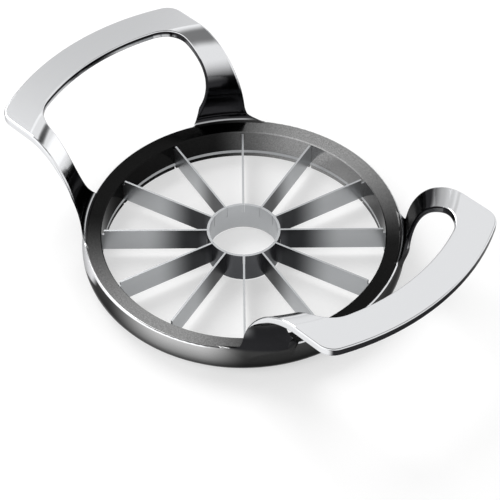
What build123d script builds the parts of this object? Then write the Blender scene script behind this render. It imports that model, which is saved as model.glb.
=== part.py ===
from build123d import *
import math
import os

os.makedirs("parts", exist_ok=True)

# An apple slicer and corer: a die-cast ring with two upswept grip handles, twelve flat
# blades standing on edge between the ring and a central coring tube, and a split spring
# ring that closes the blade slots from below. Millimetres. The origin is on the axis of
# the ring, at the plane the ring stands on. +X runs through a handle, +Z is up.

# Ring
opening_radius = 50.0        # clear opening that the apple passes through
ring_height = 12.6           # up to the ridge, the ring's top outer edge
band_width = 5.7             # the ring's top, from the opening out to the ridge
band_rise = 0.6              # the top climbs this much on its way to the ridge
belly_bulge = 1.3            # the barrel-shaped outer wall stands out this far past the ridge
belly_height = 7.0           # of the wall's widest point
foot_width = 2.3             # flat underside, from the opening outward
lip_height = 1.6             # the bore's lower lip, under the retaining ring
bore_edge_chamfer = 0.4
ridge_edge_radius = 0.8

# Handles
handle_height = 44.2         # top of the flat grip
handle_overhang = 38.1       # outer edge of the grip, from the opening
handle_half_width = 41.5     # outer side of each leg, from the handle's centre plane
handle_corner_radius = 6.8
handle_edge_radius = 0.6
grip_width = 12.3
grip_thickness = 3.1
wall_offset = 0.9            # inner face of the handle's wall at its root, from the ridge
wall_thickness = 2.4         # at its root
wall_root_blend = 3.0        # concave corner between the ring's top and the wall
inner_flare_reach = 18.7     # each face of the wall is a quarter ellipse up to the grip
inner_flare_drop = 0.5       # the inner ellipse begins this far below the ridge
outer_flare_reach = 16.5
outer_flare_rise = 5.0       # the outer ellipse begins this far above the ridge
leg_root_width = 3.2         # concave corner where a leg's outer side meets the ring
leg_root_height = 6.0
root_fade = 4.0              # below the ridge the wall's edges lean out this far along the ring

# Tapered roots: the wall's outer face is cut back toward the ring beside each leg
leg_taper_center = 10.0      # axis of the cut on the outer side, from the ring's axis
leg_taper_dip = 0.6          # the cut begins to flare this far below the ridge
leg_taper_drop = 4.2         # and has left the wall this far below the top of the grip
leg_taper_flare = 15.3
finger_taper_dip = 2.6       # the same for the cut on the finger side
finger_taper_drop = 16.2
finger_taper_flare = 9.0

# Legs, on each side of the finger opening
leg_width_root = 17.0        # at the ridge
leg_width_waist = 10.5
leg_waist_share = 0.435      # of the way from the ridge up to the grip
leg_width_grip = 8.6         # under the grip
leg_straight = 3.1           # the opening's sides are upright over this height below the grip
finger_corner_radius = 11.0

# Blades
blade_count = 12
first_blade_angle = 15.0     # from the handles' centre plane
blade_thickness = 0.7
bevel_height = 1.6           # ground on both sides of the lower edge
edge_thickness = 0.12
rim_tab_length = 2.0         # tab that enters the slot in the ring
rim_tab_drop = 1.8           # the tab's top lies this far under the blade's top
rim_shoulder = 0.9           # the blade's top steps down this far before the ring

# Coring tube
tube_radius = 12.95          # outer
tube_wall = 0.9
tube_lift = 0.2              # lower rim above the standing plane
tube_bevel_height = 1.4      # ground inside the lower rim

# Retaining ring
retainer_width = 2.1
retainer_thickness = 1.3
retainer_split = 5.0         # gap between the ring's two ends

# Clearances
slot_clearance = 0.05        # each side of a blade in its slot
seat_clearance = 0.05        # at the blades' ends and round the retaining ring

# Construction
handle_turn = 130.0          # the wall is turned through this angle before its sides are cut
beyond = 5.0                 # how far a cutting shape runs past what it cuts
near = 1.5                   # an edge this close to a named corner is that corner's
sliver = 0.1

# Derived places
ridge_radius = opening_radius + band_width
belly_radius = ridge_radius + belly_bulge
foot_radius = opening_radius + foot_width
handle_reach = opening_radius + handle_overhang
wall_inner_radius = ridge_radius + wall_offset
wall_outer_radius = wall_inner_radius + wall_thickness
grip_underside = handle_height - grip_thickness
root_edge = handle_half_width + leg_root_width
finger_reach = handle_reach - grip_width
finger_half_width_root = handle_half_width - leg_width_root
finger_half_width_waist = handle_half_width - leg_width_waist
finger_half_width = handle_half_width - leg_width_grip
waist_height = ring_height + leg_waist_share * (grip_underside - ring_height)
blade_top = ring_height - band_rise
blade_bottom = lip_height + retainer_thickness
tab_top = blade_top - rim_tab_drop
slot_width = blade_thickness + 2 * slot_clearance
slot_radius = opening_radius + rim_tab_length + seat_clearance
tube_bore = tube_radius - tube_wall
lap_height = (blade_top + blade_bottom) / 2
above = handle_height + beyond


def blade_angles():
    return [first_blade_angle + 360.0 * i / blade_count for i in range(blade_count)]


def ring():
    """The barrel-shaped ring, with the groove for the retaining ring inside its lower lip."""
    bore_top = (opening_radius, blade_top)
    ridge = (ridge_radius, ring_height)
    belly = (belly_radius, belly_height)
    outline = Polyline((foot_radius, 0), (opening_radius, 0), bore_top, ridge)
    outline += TangentArc(belly, ridge, tangent=(0, 1))
    outline += TangentArc(belly, (foot_radius, 0), tangent=(0, -1))
    section = make_face(Plane.XZ * outline)
    section = fillet(section.vertices().group_by(Axis.Z)[-1], ridge_edge_radius)
    section = chamfer(section.vertices().sort_by(Axis.X)[:2].sort_by(Axis.Z)[-1], bore_edge_chamfer)
    groove = Cylinder(opening_radius + retainer_width + seat_clearance,
                      retainer_thickness + 2 * seat_clearance, align=(Align.CENTER, Align.CENTER, Align.MIN))
    return revolve(section, Axis.Z) - Pos(0, 0, lip_height - seat_clearance) * groove


def flare():
    """Both faces of the handle wall, turned about the ring's axis: vertical at the ring, flat at the grip."""
    inner_center = (wall_inner_radius + inner_flare_reach, ring_height - inner_flare_drop)
    outer_center = (wall_outer_radius + outer_flare_reach, ring_height + outer_flare_rise)
    inner_flare_height = handle_height - inner_center[1]
    outer_flare_height = grip_underside - outer_center[1]
    root_radius = wall_inner_radius - wall_root_blend
    root_height = ring_height - band_rise * (ridge_radius - root_radius) / band_width
    root_turn = math.degrees(math.asin((root_height + wall_root_blend - inner_center[1]) / inner_flare_height))
    inner = EllipticalCenterArc(inner_center, inner_flare_reach, inner_flare_height, 90, arc_size=90 - root_turn)
    outer = EllipticalCenterArc(outer_center, outer_flare_reach, outer_flare_height, 90, arc_size=90)
    blend_dip = wall_root_blend * (1 - math.sqrt(0.5))
    blend = ThreePointArc(inner @ 1, (wall_inner_radius - blend_dip, root_height + blend_dip),
                          (root_radius, root_height))
    belly = (belly_radius, belly_height)
    swell_middle = ((wall_outer_radius + belly_radius) / 2, (outer_center[1] + belly_height) / 2)
    swell = TangentArc(outer @ 1, swell_middle, tangent=(0, -1)) + TangentArc(belly, swell_middle, tangent=(0, 1))
    edge = Polyline(inner @ 0, (handle_reach, handle_height), (handle_reach, grip_underside), outer @ 0)
    root = Polyline(blend @ 1, (root_radius, belly_height), belly)
    section = make_face(Plane.XZ * (inner + blend + root + swell + outer + edge))
    return Rot(0, 0, -handle_turn / 2) * revolve(section, Axis.Z, revolution_arc=handle_turn)


def mirrored_prism(half_outline):
    """An outline in the YZ plane, given for +Y, made whole and run along the handle."""
    face = make_face(Plane.YZ * half_outline)
    face += mirror(face, Plane.XZ)
    return extrude(face, handle_reach + beyond, dir=(1, 0, 0))


def is_rim(edge):
    """True for the handle's outline edges, leaving out upright corners and seams within a face."""
    box = edge.bounding_box()
    upright = max(box.size.X, box.size.Y) < sliver
    seam = box.size.Z < sliver and box.max.Z < grip_underside - sliver
    return box.min.Z > ring_height - sliver and not upright and not seam


def taper_outline(reach, dip, drop, flare_reach):
    """XZ outline of what a taper leaves: upright to the ridge, flared toward the grip, then clear of the handle."""
    start = ring_height - dip
    top = handle_height - drop
    far = handle_reach + beyond
    curve = EllipticalCenterArc((reach + flare_reach, start), flare_reach, top - start, 90, arc_size=90)
    edge = Polyline(curve @ 0, (far, top), (far, above), (0, above), (0, 0), (reach, 0), curve @ 1)
    return make_face(Plane.XZ * (curve + edge))


def tapers():
    """What both cuts leave: one turned about its own axis, through the ridge at each leg's root, one straight."""
    radius = math.hypot(math.sqrt(ridge_radius ** 2 - root_edge ** 2) - leg_taper_center, root_edge)
    reach = math.sqrt(ridge_radius ** 2 - finger_half_width_root ** 2)
    outer = revolve(taper_outline(radius, leg_taper_dip, leg_taper_drop, leg_taper_flare), Axis.Z)
    finger = taper_outline(reach, finger_taper_dip, finger_taper_drop, finger_taper_flare)
    return Pos(leg_taper_center, 0, 0) * outer & extrude(finger, root_edge + beyond, both=True)


def handle():
    root_top = ring_height + leg_root_height
    sides = Polyline((0, above), (0, 0), (root_edge, 0), (root_edge, ring_height))
    sides += EllipticalCenterArc((root_edge, root_top), leg_root_width, leg_root_height, 180, arc_size=90)
    sides += Polyline((handle_half_width, root_top), (handle_half_width, above), (0, above))
    skin = flare()
    wall = skin & mirrored_prism(sides)
    corner = math.sqrt(handle_reach ** 2 - handle_half_width ** 2)
    grip_corners = [e for e in wall.edges().filter_by(Axis.Z) if abs(e.center().X - corner) < near]
    wall = fillet(grip_corners, handle_corner_radius)

    root = (finger_half_width_root, ring_height)
    top = (finger_half_width, grip_underside - leg_straight)
    upper = TangentArc(top, (finger_half_width_waist, waist_height), tangent=(0, -1))
    lower = TangentArc(upper @ 1, root, tangent=upper % 1)
    edge = Polyline(root, (finger_half_width_root, 0), (0, 0), (0, above), (finger_half_width, above), top)
    opening = upper + lower + edge
    plan = Pos(finger_reach / 2, 0) * Rectangle(finger_reach, 2 * finger_half_width) & Circle(finger_reach)
    plan = fillet(plan.vertices().group_by(Axis.X)[-1], finger_corner_radius)
    wall -= extrude(plan, above) & mirrored_prism(opening)
    rims = [e for e in wall.edges() if is_rim(e)]
    wall = fillet(rims, handle_edge_radius)

    fade = Polyline((finger_half_width_root, ring_height), (root_edge, ring_height),
                    (root_edge + root_fade, belly_height), (finger_half_width_root - root_fade, belly_height),
                    close=True)
    return (wall + (skin & mirrored_prism(fade))) & tapers()


def body_casting():
    """Ring and both handles in one casting, slotted from below for the blades."""
    casting = ring() + handle() + Rot(0, 0, 180) * handle()
    slot = Box(slot_radius - opening_radius + beyond, slot_width, tab_top + seat_clearance + beyond,
               align=(Align.MIN, Align.CENTER, Align.MIN))
    slots = [Rot(0, 0, a) * Pos(opening_radius - beyond, 0, -beyond) * slot for a in blade_angles()]
    return casting - slots


def blade():
    """One blade along +X, standing on its ground edge, with a lap at the tube and a tab at the rim."""
    tube_end = tube_radius + seat_clearance
    lap_end = tube_bore + seat_clearance
    shoulder = opening_radius - rim_shoulder
    rim_end = opening_radius + rim_tab_length
    outline = Polyline((lap_end, lap_height), (lap_end, blade_top), (shoulder, blade_top), (shoulder, tab_top),
                       (rim_end, tab_top), (rim_end, blade_bottom), (tube_end, blade_bottom),
                       (tube_end, lap_height), close=True)
    solid = extrude(make_face(Plane.XZ * outline), blade_thickness / 2, both=True)
    half = blade_thickness / 2
    ground = Polyline((edge_thickness / 2, blade_bottom), (half, blade_bottom + bevel_height),
                      (half + beyond, blade_bottom + bevel_height), (half + beyond, blade_bottom - beyond),
                      (edge_thickness / 2, blade_bottom - beyond), close=True)
    bevel = Pos(lap_end, 0, 0) * extrude(make_face(Plane.YZ * ground), shoulder - lap_end)
    return solid - bevel - mirror(bevel, Plane.XZ)


def coring_tube():
    """Short tube ground sharp inside its lower rim, with a slot for each blade's lap."""
    rim = tube_radius - edge_thickness
    outline = Polyline((tube_bore, blade_top), (tube_radius, blade_top), (tube_radius, tube_lift), (rim, tube_lift),
                       (tube_bore, tube_lift + tube_bevel_height), close=True)
    solid = revolve(make_face(Plane.XZ * outline), Axis.Z)
    slot = Box(2 * tube_wall, slot_width, blade_top, align=(Align.CENTER, Align.CENTER, Align.MIN))
    seat = Pos(tube_radius - tube_wall / 2, 0, lap_height) * slot
    return solid - [Rot(0, 0, a) * seat for a in blade_angles()]


def blade_retaining_ring():
    """Flat spring ring, flush with the bore, split so that it can be sprung into its groove."""
    outer = Cylinder(opening_radius + retainer_width, retainer_thickness)
    inner = Cylinder(opening_radius, retainer_thickness)
    split = Pos(opening_radius, 0, 0) * Box(4 * retainer_width, retainer_split, retainer_thickness)
    return Pos(0, 0, lip_height + retainer_thickness / 2) * (outer - inner - split)


export_step(body_casting(), "parts/body_casting.step")
export_step(coring_tube(), "parts/coring_tube.step")
export_step(blade_retaining_ring(), "parts/blade_retaining_ring.step")
one_blade = blade()
for number, angle in enumerate(blade_angles(), start=1):
    export_step(Rot(0, 0, angle) * one_blade, f"parts/blade_{number:02d}.step")
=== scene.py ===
import math

import bpy
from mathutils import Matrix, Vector

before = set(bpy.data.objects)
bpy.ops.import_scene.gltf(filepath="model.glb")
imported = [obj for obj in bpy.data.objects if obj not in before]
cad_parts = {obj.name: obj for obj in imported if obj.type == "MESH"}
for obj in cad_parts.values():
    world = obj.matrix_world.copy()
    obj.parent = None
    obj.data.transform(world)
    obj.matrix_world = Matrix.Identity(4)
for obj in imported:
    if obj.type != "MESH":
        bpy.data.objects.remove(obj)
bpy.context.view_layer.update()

# An apple slicer: polished die-cast ring and handles, twelve steel blades, a coring tube and a spring ring.
# Lengths are in millimetres, and mm turns them to the metres that Blender works in.
mm = 0.001
halfTurn = 180.0         # degrees


def linear(hexColour):
    # "#rrggbb" as an sRGB colour, turned to the linear values that sockets take
    parts = [int(hexColour[i:i + 2], 16) / 255 for i in (1, 3, 5)]
    return tuple(c / 12.92 if c <= 0.04045 else ((c + 0.055) / 1.055) ** 2.4 for c in parts) + (1.0,)


def addNode(tree, kind, settings=None, links=None):
    # settings: a property by name, or a socket by name or number;
    # links: socket -> the output that feeds it, or a node whose first output does
    node = tree.nodes.new(kind)
    for name, value in (settings or {}).items():
        if isinstance(name, str) and hasattr(node, name):
            setattr(node, name, value)
        else:
            node.inputs[name].default_value = value
    for name, source in (links or {}).items():
        output = source.outputs[0] if isinstance(source, bpy.types.Node) else source
        tree.links.new(output, node.inputs[name])
    return node


def newMaterial(name):
    material = bpy.data.materials.new(name)
    material.use_nodes = True
    material.node_tree.nodes.clear()
    return material, material.node_tree


def dress(material, *names):
    # a CAD node keeps its mesh and takes the material in every slot
    for name in names:
        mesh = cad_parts[name].data
        mesh.materials.clear()
        mesh.materials.append(material)


# Casting: zinc alloy, die cast, polished and plated with bright chromium. The grips mirror the room. Its
# colour holds painted shade and painted dark reflection on the steep walls below the grips and on the ring,
# and painted highlights on the ridge and down the wall. Tones that go round the ring repeat after half a
# turn, as its two handles do.
casting = {
    # the plating's own colour, also used for the painted highlights on the ridge and the wall's sweep
    "bright": "#e9eaec",
    # painted shade and dark reflection on the handles' steep walls and roots
    "paintedShade": "#2b2b2d",
    "roughness": 0.10,              # on the handles
    "ringRoughness": 0.15,
    "rimTint": "#bcbcbc",           # a rubbed plating mirrors less where it is seen along its face
    "rippleSize": 9.0,              # the cast skin's slow waves
    "rippleDepth": 0.008,

    # Ring's top and ridge
    "ringTop": 12.6,                # the height that parts the ring from the handles
    "topDepth": 0.62,               # how far below it the ring's sloping top reaches
    "topFade": 0.04,
    "ridgeAxis": 55.215,            # radius of the middle of the ridge's rounding
    "ridgeRadius": 0.8,             # that rounding
    "ridgeShare": 0.92,             # how much of the rounding belongs to the top
    "ridgeDim": 0.25,               # how far up the ridge faces where its painted highlight begins
    "ridgeShine": 0.45,             # and where it shines in full
    "bandStart": 0.86,              # how far up the ring faces where its flat top takes over
    "bandFull": 0.94,
    "bandLean": -0.105,             # how far the flat top leans inward
    "topDark": "#1c1c1c",           # painted shade on the flat top near the legs
    "topLight": "#999999",          # and a lighter painted tone between them
    "topRise": (36.0, 100.0),       # degrees round each half of the ring, where it lightens
    "topFall": (110.0, 148.0),      # and where it darkens again
    "rootAngle": 127.0,             # degrees round each half ring, where a leg's root dims the painted ridge highlight
    "rootNear": 3.0,                # degrees to each side where it is dark, and where it shines again
    "rootFar": 8.0,
    "grainSize": 0.45,              # the flat top's satin grain, coarser than a real one so that it shows
    "grainDetail": 1.0,
    "grainLow": 0.80,               # how much it dims and lifts the tone
    "grainHigh": 1.20,
    "noiseLow": 0.3,                # what most of a noise lies between
    "noiseHigh": 0.7,

    # Ring's outer wall
    "wallDark": "#3e3e3e",          # painted shade on the wall's upper part, in the same way
    "wallLight": "#b8b8b8",
    "wallRise": (79.0, 107.0),
    "wallFall": (119.0, 136.0),
    # painted shade at the wall's foot
    "wallFoot": "#1a1a1a",
    "wallFrom": 3.3,                # heights over which the wall's painted shade lifts
    "wallFull": 11.5,
    "sweepSlope": 41.0,             # how fast the painted bright sweep, a painted reflection below the ridge, narrows round the half ring
    "sweepHeight": 9.7,             # its lower edge where it ends
    "sweepBlur": 0.4,
    "sweepStart": 42.0,             # degrees
    "sweepStartBlur": 10.8,
    "sweepEnd": 69.0,
    "sweepEndBlur": 2.7,

    # Handles
    "blend": 1.3,                   # height over which the ring's look turns into theirs
    "unshaded": (0.2, 0.0, 0.98),      # the painted shade grows as the surface turns away from this direction
    "shadeStart": 0.70,             # how far along it the surface points where the painted shade starts
    "shadeFull": 0.48,              # and where it is full
    "rootFrom": 15.0,               # heights over which the painted shade of the roots ends
    "rootFull": 22.0,
    "sideFrom": 28.0,               # distance from the long axis, times how squarely the surface faces sideways, where the outer side faces lose the painted shade
    "sideFull": 36.0,               # sideways, where the outer side faces come clean
    "sideFoot": 19.0,               # heights over which those faces lose the painted shade
    "sideTop": 29.0,
    "edgeFrom": 29.0,               # heights over which the painted shade on the faces along the ring lifts towards the grip
    "edgeFull": 42.0,
    "edgeShare": 0.7,
    "edgeAslant": 0.6,              # how far a face may turn from along the ring before it keeps the painted shade
    "edgeSquare": 0.2,
    "lipFrom": 43.0,                # heights over which the painted shade on the grip's face towards the hub lifts downward
    "lipFull": 42.3,
    "lipFoot": 40.0,                # and where it ends
    "lipShare": 0.8,
    "lipAslant": -0.75,             # how squarely that face looks at the hub where its painted shade begins to lift
    "lipSquare": -0.9,
}


def aroundRing(tree, place):
    # the direction away from the ring's axis, the distance from it, and the share of each half turn
    flat = addNode(tree, "ShaderNodeVectorMath", {"operation": "MULTIPLY", 1: (1, 1, 0)},
                   {0: place.outputs["Object"]})
    outward = addNode(tree, "ShaderNodeVectorMath", {"operation": "NORMALIZE"}, {0: flat})
    radius = addNode(tree, "ShaderNodeVectorMath", {"operation": "LENGTH"}, {0: flat}).outputs["Value"]
    spot = addNode(tree, "ShaderNodeSeparateXYZ", {}, {0: place.outputs["Object"]})
    turn = addNode(tree, "ShaderNodeMath", {"operation": "ARCTAN2"},
                   {0: spot.outputs["Y"], 1: spot.outputs["X"]})
    turn = addNode(tree, "ShaderNodeMath", {"operation": "DIVIDE", 1: math.pi}, {0: turn})
    turn = addNode(tree, "ShaderNodeMath", {"operation": "FRACT"}, {0: turn})
    return outward, radius, turn


def ridgeDirection(tree, values, place, height, outward, radius):
    # the ring's top and ridge are turned surfaces, so their direction follows from the radius alone
    lean = addNode(tree, "ShaderNodeMapRange", {
        "From Min": (values["ridgeAxis"] + values["bandLean"] * values["ridgeRadius"]) * mm,
        "From Max": (values["ridgeAxis"] + values["ridgeRadius"]) * mm,
        "To Min": values["bandLean"], "To Max": 1.0}, {"Value": radius})
    rise = addNode(tree, "ShaderNodeMath", {"operation": "ARCSINE"}, {0: lean})
    rise = addNode(tree, "ShaderNodeMath", {"operation": "COSINE"}, {0: rise})
    upright = addNode(tree, "ShaderNodeCombineXYZ", {}, {"Z": rise})
    turned = addNode(tree, "ShaderNodeVectorMath", {"operation": "SCALE"}, {0: outward, "Scale": lean})
    turned = addNode(tree, "ShaderNodeVectorMath", {"operation": "ADD"}, {0: turned, 1: upright})

    belowTop = addNode(tree, "ShaderNodeMapRange", {
        "From Min": values["ringTop"] * mm, "From Max": (values["ringTop"] - values["topFade"]) * mm},
        {"Value": height})
    onTop = addNode(tree, "ShaderNodeMath", {
        "operation": "GREATER_THAN", 1: (values["ringTop"] - values["topDepth"]) * mm}, {0: height})
    onTop = addNode(tree, "ShaderNodeMath", {"operation": "MULTIPLY"}, {0: belowTop, 1: onTop})
    inside = addNode(tree, "ShaderNodeMath", {
        "operation": "LESS_THAN",
        1: (values["ridgeAxis"] + values["ridgeShare"] * values["ridgeRadius"]) * mm}, {0: radius})
    onTop = addNode(tree, "ShaderNodeMath", {"operation": "MULTIPLY"}, {0: onTop, 1: inside})
    direction = addNode(tree, "ShaderNodeMix", {"data_type": "VECTOR"},
                        {0: onTop, 4: place.outputs["Normal"], 5: turned}).outputs[1]
    return rise, direction


def betweenLegs(tree, turn, dark, light, rise, fall):
    # painted shade: dark near the legs, lighter between them
    shares = [addNode(tree, "ShaderNodeMapRange", {
        "interpolation_type": "SMOOTHSTEP", "From Min": low / halfTurn, "From Max": high / halfTurn},
        {"Value": turn}) for low, high in (rise, fall[::-1])]
    share = addNode(tree, "ShaderNodeMath", {"operation": "MINIMUM"}, {0: shares[0], 1: shares[1]})
    return addNode(tree, "ShaderNodeMix", {
        "data_type": "RGBA", 6: linear(dark), 7: linear(light)}, {0: share}).outputs[2]


def wallColour(tree, values, height, turn):
    # painted shade darkens the wall downward, and a painted bright sweep comes down it from the leg
    tone = betweenLegs(tree, turn, values["wallDark"], values["wallLight"], values["wallRise"],
                       values["wallFall"])
    clear = addNode(tree, "ShaderNodeMapRange", {
        "From Min": values["wallFrom"] * mm, "From Max": values["wallFull"] * mm}, {"Value": height})
    tone = addNode(tree, "ShaderNodeMix", {"data_type": "RGBA", 6: linear(values["wallFoot"])},
                   {0: clear, 7: tone}).outputs[2]

    start, startBlur = values["sweepStart"] / halfTurn, values["sweepStartBlur"] / halfTurn
    end, endBlur = values["sweepEnd"] / halfTurn, values["sweepEndBlur"] / halfTurn
    edge = values["sweepHeight"] - values["sweepSlope"] * end
    sweep = addNode(tree, "ShaderNodeMath", {"operation": "MULTIPLY_ADD", 1: -values["sweepSlope"] * mm},
                    {0: turn, 2: height})
    sweep = addNode(tree, "ShaderNodeMapRange", {
        "interpolation_type": "SMOOTHSTEP", "From Min": (edge - values["sweepBlur"]) * mm,
        "From Max": (edge + values["sweepBlur"]) * mm}, {"Value": sweep})
    for low, high in ((end + endBlur, end - endBlur), (start - startBlur, start + startBlur)):
        share = addNode(tree, "ShaderNodeMapRange", {
            "interpolation_type": "SMOOTHSTEP", "From Min": low, "From Max": high}, {"Value": turn})
        sweep = addNode(tree, "ShaderNodeMath", {"operation": "MULTIPLY"}, {0: sweep, 1: share})
    return tone, sweep


def ringColour(tree, values, place, height, turn, rise):
    # painted shade and highlights: a dark wall with its painted sweep, a painted bright ridge that dims at
    # the legs' roots, and a satin top
    wall, shine = wallColour(tree, values, height, turn)
    ridge = addNode(tree, "ShaderNodeMapRange", {
        "interpolation_type": "SMOOTHSTEP", "From Min": values["ridgeDim"],
        "From Max": values["ridgeShine"]}, {"Value": rise})
    fromRoot = addNode(tree, "ShaderNodeMath", {"operation": "SUBTRACT", 1: values["rootAngle"] / halfTurn},
                       {0: turn})
    fromRoot = addNode(tree, "ShaderNodeMath", {"operation": "ABSOLUTE"}, {0: fromRoot})
    fromRoot = addNode(tree, "ShaderNodeMapRange", {
        "interpolation_type": "SMOOTHSTEP", "From Min": values["rootNear"] / halfTurn,
        "From Max": values["rootFar"] / halfTurn}, {"Value": fromRoot})
    ridge = addNode(tree, "ShaderNodeMath", {"operation": "MULTIPLY"}, {0: ridge, 1: fromRoot})
    shine = addNode(tree, "ShaderNodeMath", {"operation": "MAXIMUM"}, {0: shine, 1: ridge})
    tone = addNode(tree, "ShaderNodeMix", {"data_type": "RGBA", 7: linear(values["bright"])},
                   {0: shine, 6: wall}).outputs[2]

    band = betweenLegs(tree, turn, values["topDark"], values["topLight"], values["topRise"],
                       values["topFall"])
    grain = addNode(tree, "ShaderNodeTexNoise", {
        "Scale": 1 / (values["grainSize"] * mm), "Detail": values["grainDetail"]},
        {"Vector": place.outputs["Object"]})
    grain = addNode(tree, "ShaderNodeMapRange", {
        "From Min": values["noiseLow"], "From Max": values["noiseHigh"],
        "To Min": values["grainLow"], "To Max": values["grainHigh"]}, {"Value": grain})
    band = addNode(tree, "ShaderNodeMix", {"data_type": "RGBA", "blend_type": "MULTIPLY", 0: 1.0},
                   {6: band, 7: grain}).outputs[2]
    onBand = addNode(tree, "ShaderNodeMapRange", {
        "interpolation_type": "SMOOTHSTEP", "From Min": values["bandStart"],
        "From Max": values["bandFull"]}, {"Value": rise})
    return addNode(tree, "ShaderNodeMix", {"data_type": "RGBA"}, {0: onBand, 6: tone, 7: band}).outputs[2]


def handleColour(tree, values, place, height, outward):
    # painted shade on the handles, taken off where they face up, on their outer side faces, and towards the
    # grip
    shallow = addNode(tree, "ShaderNodeVectorMath", {"operation": "DOT_PRODUCT", 1: values["unshaded"]},
                      {0: place.outputs["Normal"]}).outputs["Value"]
    shallow = addNode(tree, "ShaderNodeMapRange", {
        "interpolation_type": "SMOOTHSTEP", "From Min": values["shadeFull"],
        "From Max": values["shadeStart"]}, {"Value": shallow})
    aboveRoot = addNode(tree, "ShaderNodeMapRange", {
        "interpolation_type": "SMOOTHSTEP", "From Min": values["rootFrom"] * mm,
        "From Max": values["rootFull"] * mm}, {"Value": height})
    shallow = addNode(tree, "ShaderNodeMath", {"operation": "MULTIPLY"}, {0: shallow, 1: aboveRoot})

    spot = addNode(tree, "ShaderNodeSeparateXYZ", {}, {0: place.outputs["Object"]})
    facing = addNode(tree, "ShaderNodeSeparateXYZ", {}, {0: place.outputs["Normal"]})
    side = addNode(tree, "ShaderNodeMath", {"operation": "MULTIPLY"},
                   {0: facing.outputs["Y"], 1: spot.outputs["Y"]})
    side = addNode(tree, "ShaderNodeMapRange", {
        "interpolation_type": "SMOOTHSTEP", "From Min": values["sideFrom"] * mm,
        "From Max": values["sideFull"] * mm}, {"Value": side})
    sideHeight = addNode(tree, "ShaderNodeMapRange", {
        "interpolation_type": "SMOOTHSTEP", "From Min": values["sideFoot"] * mm,
        "From Max": values["sideTop"] * mm}, {"Value": height})
    side = addNode(tree, "ShaderNodeMath", {"operation": "MULTIPLY"}, {0: side, 1: sideHeight})

    hubward = addNode(tree, "ShaderNodeVectorMath", {"operation": "DOT_PRODUCT"},
                      {0: place.outputs["Normal"], 1: outward}).outputs["Value"]
    lip = addNode(tree, "ShaderNodeMapRange", {
        "interpolation_type": "SMOOTHSTEP", "From Min": values["lipAslant"],
        "From Max": values["lipSquare"], "To Max": values["lipShare"]}, {"Value": hubward})
    lipHeight = addNode(tree, "ShaderNodeMapRange", {
        "interpolation_type": "SMOOTHSTEP", "From Min": values["lipFrom"] * mm,
        "From Max": values["lipFull"] * mm}, {"Value": height})
    lip = addNode(tree, "ShaderNodeMath", {"operation": "MULTIPLY"}, {0: lip, 1: lipHeight})
    aboveFoot = addNode(tree, "ShaderNodeMath", {"operation": "GREATER_THAN", 1: values["lipFoot"] * mm},
                        {0: height})
    lip = addNode(tree, "ShaderNodeMath", {"operation": "MULTIPLY"}, {0: lip, 1: aboveFoot})

    edge = addNode(tree, "ShaderNodeMapRange", {
        "interpolation_type": "SMOOTHSTEP", "From Min": values["edgeFrom"] * mm,
        "From Max": values["edgeFull"] * mm, "To Max": values["edgeShare"]}, {"Value": height})
    along = addNode(tree, "ShaderNodeMath", {"operation": "ABSOLUTE"}, {0: hubward})
    along = addNode(tree, "ShaderNodeMapRange", {
        "interpolation_type": "SMOOTHSTEP", "From Min": values["edgeAslant"],
        "From Max": values["edgeSquare"]}, {"Value": along})
    edge = addNode(tree, "ShaderNodeMath", {"operation": "MULTIPLY"}, {0: edge, 1: along})

    unshaded = shallow
    for other in (side, edge, lip):
        unshaded = addNode(tree, "ShaderNodeMath", {"operation": "MAXIMUM"}, {0: unshaded, 1: other})
    tone = addNode(tree, "ShaderNodeMix", {
        "data_type": "RGBA", 6: linear(values["paintedShade"]), 7: linear(values["bright"])}, {0: unshaded})
    return tone.outputs[2]


def chromePlatedZinc(values):
    material, tree = newMaterial("chromePlatedZinc")
    place = addNode(tree, "ShaderNodeTexCoord")
    height = addNode(tree, "ShaderNodeSeparateXYZ", {}, {0: place.outputs["Object"]}).outputs["Z"]
    outward, radius, turn = aroundRing(tree, place)
    rise, direction = ridgeDirection(tree, values, place, height, outward, radius)
    ring = ringColour(tree, values, place, height, turn, rise)
    handle = handleColour(tree, values, place, height, outward)
    high = addNode(tree, "ShaderNodeMapRange", {
        "From Min": values["ringTop"] * mm, "From Max": (values["ringTop"] + values["blend"]) * mm},
        {"Value": height})
    tone = addNode(tree, "ShaderNodeMix", {"data_type": "RGBA"}, {0: high, 6: ring, 7: handle}).outputs[2]
    roughness = addNode(tree, "ShaderNodeMix", {
        "data_type": "FLOAT", 2: values["ringRoughness"], 3: values["roughness"]}, {0: high})
    ripple = addNode(tree, "ShaderNodeTexNoise", {"Scale": 1 / (values["rippleSize"] * mm)},
                     {"Vector": place.outputs["Object"]})
    bump = addNode(tree, "ShaderNodeBump", {"Distance": values["rippleDepth"] * mm},
                   {"Height": ripple, "Normal": direction})
    shader = addNode(tree, "ShaderNodeBsdfPrincipled", {
        "Metallic": 1.0, "Specular Tint": linear(values["rimTint"])},
        {"Base Color": tone, "Roughness": roughness, "Normal": bump})
    addNode(tree, "ShaderNodeOutputMaterial", {}, {"Surface": shader})
    return material


dress(chromePlatedZinc(casting), "body_casting")
print("casting dressed")

# Blades, coring tube and spring ring: rolled stainless strip with a fine satin grain. Painted shade darkens
# it towards the hub, where the blades stand close, leaving it pale towards the rim; the tube's bore is
# painted bright.
blades = {
    # the tube's bore, painted bright
    "bore": "#bcbec0",
    "boreRadius": 12.4,
    "tube": "#5a5b5e",              # its outside, in painted shade
    "tubeRadius": 12.75,
    "hub": "#363739",               # painted shade on the blades near the tube
    "hubRadius": 16.0,
    "rim": "#b4b6b8",               # and towards the ring, where the painted shade ends
    "rimFrom": 20.0,                # distances from the axis over which they turn pale
    "rimFull": 35.0,
    "edge": "#b4b6b8",              # painted highlight on the top edges
    "edgeFrom": 0.5,                # how far up a face looks where it counts as one
    "edgeFull": 0.7,
    "roughness": 0.32,
    "grainWidth": 0.25,             # across the grain
    "grainDepth": 0.004,
}


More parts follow.
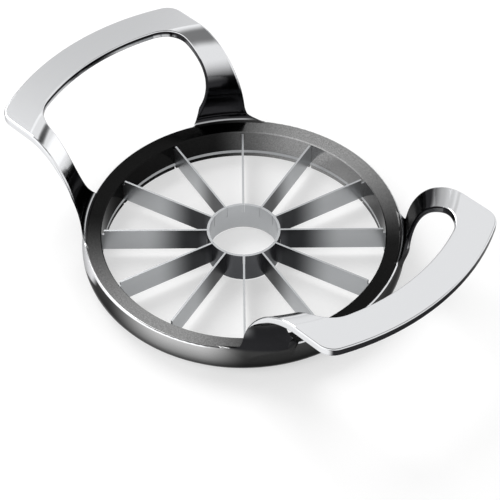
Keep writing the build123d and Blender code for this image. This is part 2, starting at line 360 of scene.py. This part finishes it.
def satinStainless(values):
    material, tree = newMaterial("satinStainless")
    place = addNode(tree, "ShaderNodeTexCoord")
    facing = addNode(tree, "ShaderNodeSeparateXYZ", {}, {0: place.outputs["Normal"]})
    flat = addNode(tree, "ShaderNodeVectorMath", {"operation": "MULTIPLY", 1: (1, 1, 0)},
                   {0: place.outputs["Object"]})
    reach = addNode(tree, "ShaderNodeVectorMath", {"operation": "LENGTH"}, {0: flat}).outputs["Value"]
    pale = addNode(tree, "ShaderNodeMapRange", {
        "interpolation_type": "SMOOTHSTEP", "From Min": values["rimFrom"] * mm,
        "From Max": values["rimFull"] * mm}, {"Value": reach})
    onTube = addNode(tree, "ShaderNodeMapRange", {
        "From Min": values["hubRadius"] * mm, "From Max": values["tubeRadius"] * mm}, {"Value": reach})
    inBore = addNode(tree, "ShaderNodeMapRange", {
        "From Min": values["tubeRadius"] * mm, "From Max": values["boreRadius"] * mm}, {"Value": reach})
    tone = addNode(tree, "ShaderNodeMix", {
        "data_type": "RGBA", 6: linear(values["hub"]), 7: linear(values["rim"])}, {0: pale}).outputs[2]
    for share, colour in ((onTube, values["tube"]), (inBore, values["bore"])):
        tone = addNode(tree, "ShaderNodeMix", {"data_type": "RGBA", 7: linear(colour)},
                       {0: share, 6: tone}).outputs[2]
    topEdgeHighlight = addNode(tree, "ShaderNodeMapRange", {
        "From Min": values["edgeFrom"], "From Max": values["edgeFull"]}, {"Value": facing.outputs["Z"]})
    tone = addNode(tree, "ShaderNodeMix", {"data_type": "RGBA", 7: linear(values["edge"])},
                   {0: topEdgeHighlight, 6: tone}).outputs[2]
    grain = addNode(tree, "ShaderNodeTexNoise", {"Scale": 1 / (values["grainWidth"] * mm)},
                    {"Vector": place.outputs["Object"]})
    bump = addNode(tree, "ShaderNodeBump", {"Distance": values["grainDepth"] * mm}, {"Height": grain})
    shader = addNode(tree, "ShaderNodeBsdfPrincipled", {
        "Metallic": 1.0, "Roughness": values["roughness"]}, {"Base Color": tone, "Normal": bump})
    addNode(tree, "ShaderNodeOutputMaterial", {}, {"Surface": shader})
    return material


dress(satinStainless(blades), *(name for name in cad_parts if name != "body_casting"))
print("blades, tube and spring ring dressed")

# Floor: a matte white table. Camera and mirror rays see it a little brighter than it is lit, so it stays
# white while it keeps the shadow.
floor = {
    "colour": "#bfbfbf",
    "lift": 0.50,           # light added for camera, mirror and glass rays
    "halfWidth": 700.0,
    "below": 0.05,          # under the standing plane
}


def makeFloor(values):
    half, level = values["halfWidth"] * mm, -values["below"] * mm
    mesh = bpy.data.meshes.new("floor")
    corners = [(-half, -half, level), (half, -half, level), (half, half, level), (-half, half, level)]
    mesh.from_pydata(corners, [], [(0, 1, 2, 3)])
    obj = bpy.data.objects.new("floor", mesh)
    bpy.context.scene.collection.objects.link(obj)
    material, tree = newMaterial("matteTable")
    ray = addNode(tree, "ShaderNodeLightPath")
    seen = addNode(tree, "ShaderNodeMath", {"operation": "ADD"},
                   {0: ray.outputs["Is Camera Ray"], 1: ray.outputs["Is Glossy Ray"]})
    seen = addNode(tree, "ShaderNodeMath", {"operation": "ADD", "use_clamp": True},
                   {0: seen, 1: ray.outputs["Is Transmission Ray"]})
    lift = addNode(tree, "ShaderNodeMath", {"operation": "MULTIPLY", 1: values["lift"]}, {0: seen})
    glow = addNode(tree, "ShaderNodeEmission", {"Color": linear("#ffffff")}, {"Strength": lift})
    paint = addNode(tree, "ShaderNodeBsdfDiffuse", {"Color": linear(values["colour"])})
    both = addNode(tree, "ShaderNodeAddShader", {}, {0: paint, 1: glow})
    addNode(tree, "ShaderNodeOutputMaterial", {}, {"Surface": both})
    mesh.materials.append(material)


makeFloor(floor)
print("floor made")

# Room: white walls and a grey ceiling. Each patch is a soft round area of the room, given by its direction,
# the angles over which it fades, and its brightness.
room = {
    "walls": 0.92,
    "ceiling": 0.22,
    "ceilingFrom": 52.0,    # degrees above the horizon where the walls begin to darken
    "ceilingFull": 74.0,
    "patches": [            # azimuth from +X towards +Y, elevation, inner and outer angle, brightness
        (174.0, -2.0, 2.0, 40.0, 0.50),
        (-104.0, 15.0, 25.0, 60.0, 1.40),
        (52.0, 52.0, 4.0, 14.0, 0.05),
        (140.0, 47.0, 0.0, 5.0, 1.20),
        (157.0, 28.0, 2.0, 12.0, 0.66),
        (141.0, 38.5, 0.0, 6.0, 0.66),
        (99.0, 40.0, 1.0, 11.0, 0.08),
        (80.0, 10.0, 10.0, 22.0, 1.25),
    ],
}


def aim(azimuth, elevation):
    turn, lift = math.radians(azimuth), math.radians(elevation)
    return Vector((math.cos(turn) * math.cos(lift), math.sin(turn) * math.cos(lift), math.sin(lift)))


def lightRoom(values):
    world = bpy.data.worlds.new("room")
    bpy.context.scene.world = world
    world.use_nodes = True
    tree = world.node_tree
    tree.nodes.clear()
    place = addNode(tree, "ShaderNodeTexCoord")
    height = addNode(tree, "ShaderNodeSeparateXYZ", {}, {0: place.outputs["Generated"]})
    level = addNode(tree, "ShaderNodeMapRange", {
        "interpolation_type": "SMOOTHSTEP", "From Min": math.sin(math.radians(values["ceilingFrom"])),
        "From Max": math.sin(math.radians(values["ceilingFull"])), "To Min": values["walls"],
        "To Max": values["ceiling"]}, {"Value": height.outputs["Z"]})
    for azimuth, elevation, inner, outer, brightness in values["patches"]:
        near = addNode(tree, "ShaderNodeVectorMath", {
            "operation": "DOT_PRODUCT", 1: aim(azimuth, elevation)},
            {0: place.outputs["Generated"]}).outputs["Value"]
        share = addNode(tree, "ShaderNodeMapRange", {
            "interpolation_type": "SMOOTHSTEP", "From Min": math.cos(math.radians(outer)),
            "From Max": math.cos(math.radians(inner))}, {"Value": near})
        level = addNode(tree, "ShaderNodeMix", {"data_type": "FLOAT", 3: brightness}, {0: share, 2: level})
    back = addNode(tree, "ShaderNodeBackground", {"Color": linear("#ffffff")}, {"Strength": level})
    addNode(tree, "ShaderNodeOutputWorld", {}, {"Surface": back})


lightRoom(room)

# Key light: one large soft box high on the side away from the far handle
softBox = {
    "azimuth": 176.0,       # degrees, as for the room
    "elevation": 48.0,
    "distance": 900.0,
    "width": 500.0,
    "power": 4.0,           # watts
}


def hangLight(values):
    data = bpy.data.lights.new("softBox", "AREA")
    data.shape = "SQUARE"
    data.size = values["width"] * mm
    data.energy = values["power"]
    obj = bpy.data.objects.new("softBox", data)
    bpy.context.scene.collection.objects.link(obj)
    back = aim(values["azimuth"], values["elevation"])
    obj.location = back * values["distance"] * mm
    obj.rotation_mode = "QUATERNION"
    obj.rotation_quaternion = back.to_track_quat("Z", "Y")


hangLight(softBox)
print("room lit")

# Camera
camera = {
    "azimuth": 44.44,       # degrees from -Y towards +X
    "elevation": 46.6,
    "distance": 665.76,
    "target": (12.12, -9.17, 17.4),
    "lens": 139.27,
}


def placeCamera(values):
    back = aim(values["azimuth"] - halfTurn / 2, values["elevation"])
    data = bpy.data.cameras.new("camera")
    data.lens = values["lens"]
    obj = bpy.data.objects.new("camera", data)
    bpy.context.scene.collection.objects.link(obj)
    obj.location = (Vector(values["target"]) + back * values["distance"]) * mm
    obj.rotation_mode = "QUATERNION"
    obj.rotation_quaternion = back.to_track_quat("Z", "Y")
    bpy.context.scene.camera = obj


placeCamera(camera)
bpy.context.scene.view_settings.view_transform = "Standard"
print("camera placed")
